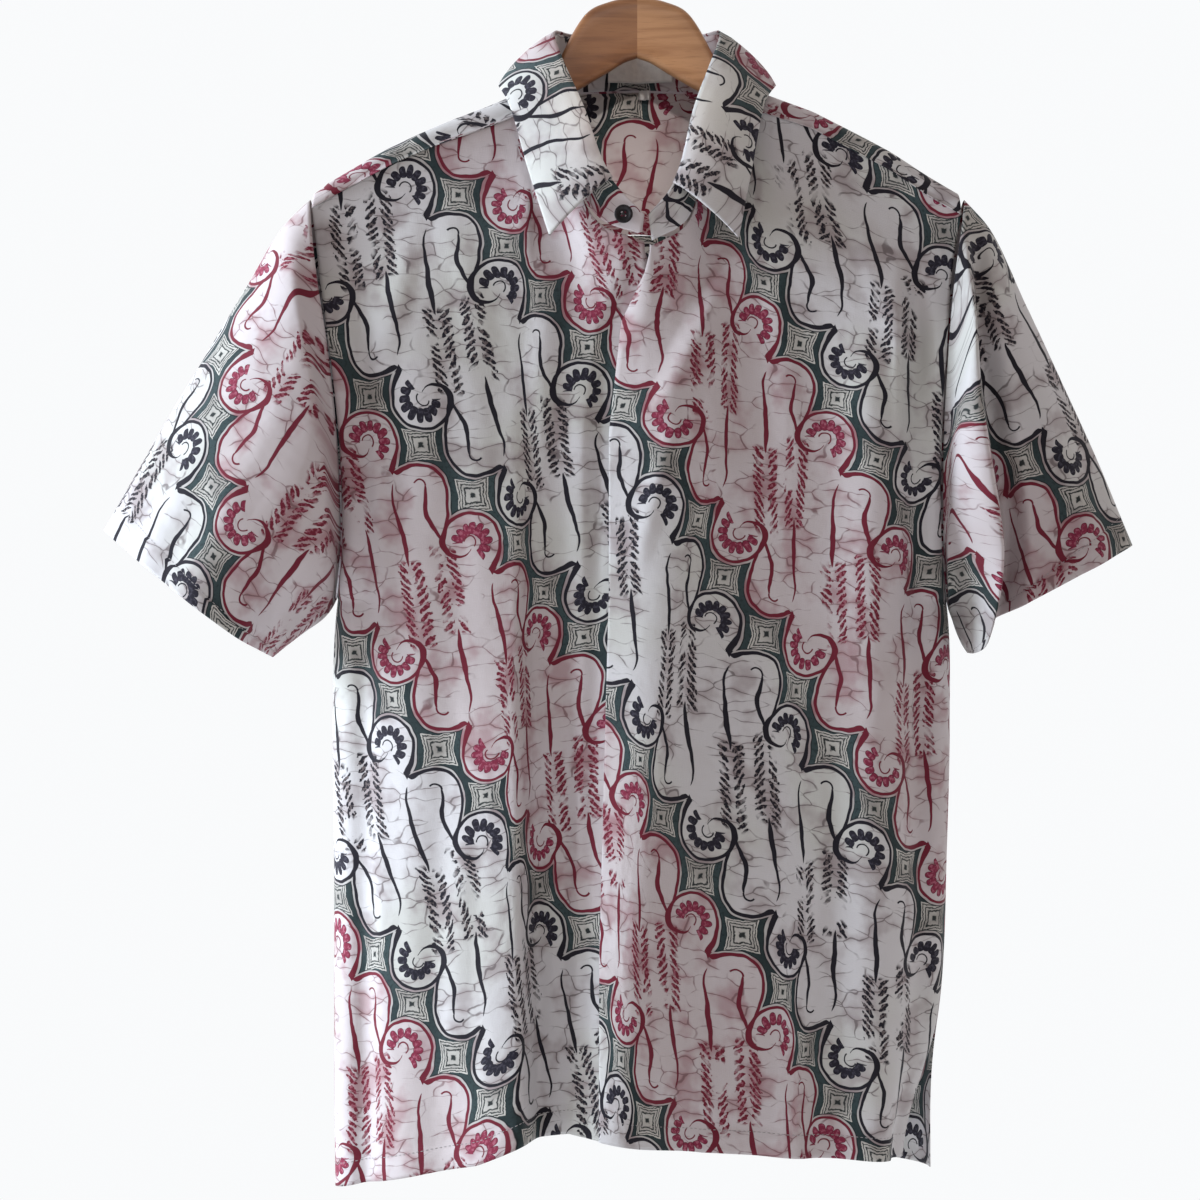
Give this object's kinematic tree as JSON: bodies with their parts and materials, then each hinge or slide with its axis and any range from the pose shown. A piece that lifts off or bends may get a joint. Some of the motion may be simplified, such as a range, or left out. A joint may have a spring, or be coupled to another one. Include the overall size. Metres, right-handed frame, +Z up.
{
  "type": "batik shirt on a wooden hanger",
  "caption": "Short-sleeved button-front shirt in parang batik cotton, hanging open at the collar on a contoured wooden hanger with a steel hook.",
  "frame": {"origin": "inside top of the hanger's hook, where a rail holds it", "axes": "+Z up; the shirt's front faces -Y; +X is towards the wearer's left"},
  "size_m": [0.7167, 0.1517, 0.8873],
  "materials": {
    "batik_cloth": "plain-woven cotton with a hand-made wax print, matt with a slight starch sheen",
    "label_tape": "woven satin tape, bare",
    "hanger_wood": "lacquered, satin",
    "hook_steel": "plated wire",
    "button_plastic": "polished black, sewn through four holes"
  },
  "bodies": {
    "root": {"front_right": "batik_cloth", "front_left": "batik_cloth", "back": "batik_cloth", "yoke": "batik_cloth", "sleeve_right": "batik_cloth", "sleeve_left": "batik_cloth", "collar_stand": "batik_cloth", "collar_leaf": "batik_cloth", "neck_label": "label_tape", "size_tab": "label_tape", "hanger_arm_right": "hanger_wood", "hanger_arm_left": "hanger_wood", "hook": "hook_steel", "button": "button_plastic"}
  },
  "joints": []
}
